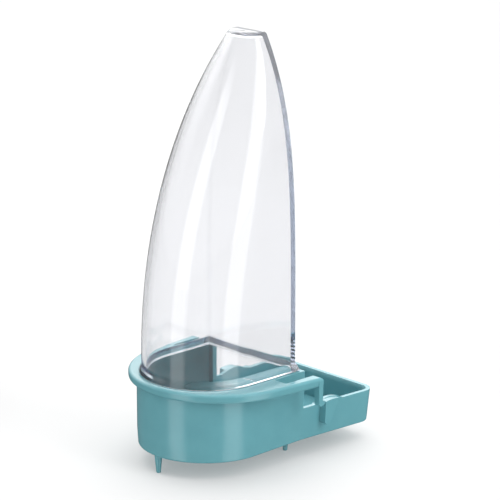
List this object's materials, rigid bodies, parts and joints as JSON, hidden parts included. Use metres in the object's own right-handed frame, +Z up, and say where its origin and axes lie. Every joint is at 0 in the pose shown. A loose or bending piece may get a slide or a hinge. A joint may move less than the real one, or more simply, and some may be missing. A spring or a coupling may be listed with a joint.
{
  "type": "hanging gravity drinker",
  "caption": "Clear flat-backed dome tank plugged into a moulded cup with an open trough, hook slots for cage wires and small feet below.",
  "frame": {"origin": "centre of the object's box, on the surface that its three feet stand on", "axes": "+Z up along the tank, +Y from the round front towards the trough, +X to the right seen from the front"},
  "size_m": [0.0668, 0.0828, 0.1462],
  "materials": {
    "clear_tank": "clear injection-moulded polystyrene, polished",
    "teal_base": "semi-gloss injection-moulded ABS"
  },
  "bodies": {
    "base": {"base": "teal_base"},
    "tank": {"tank": "clear_tank"}
  },
  "joints": [
    {"name": "tank_lift", "type": "slide", "parent": "base", "child": "tank", "axis": [0, 0, 1], "range_m": [0, 0.03]}
  ]
}
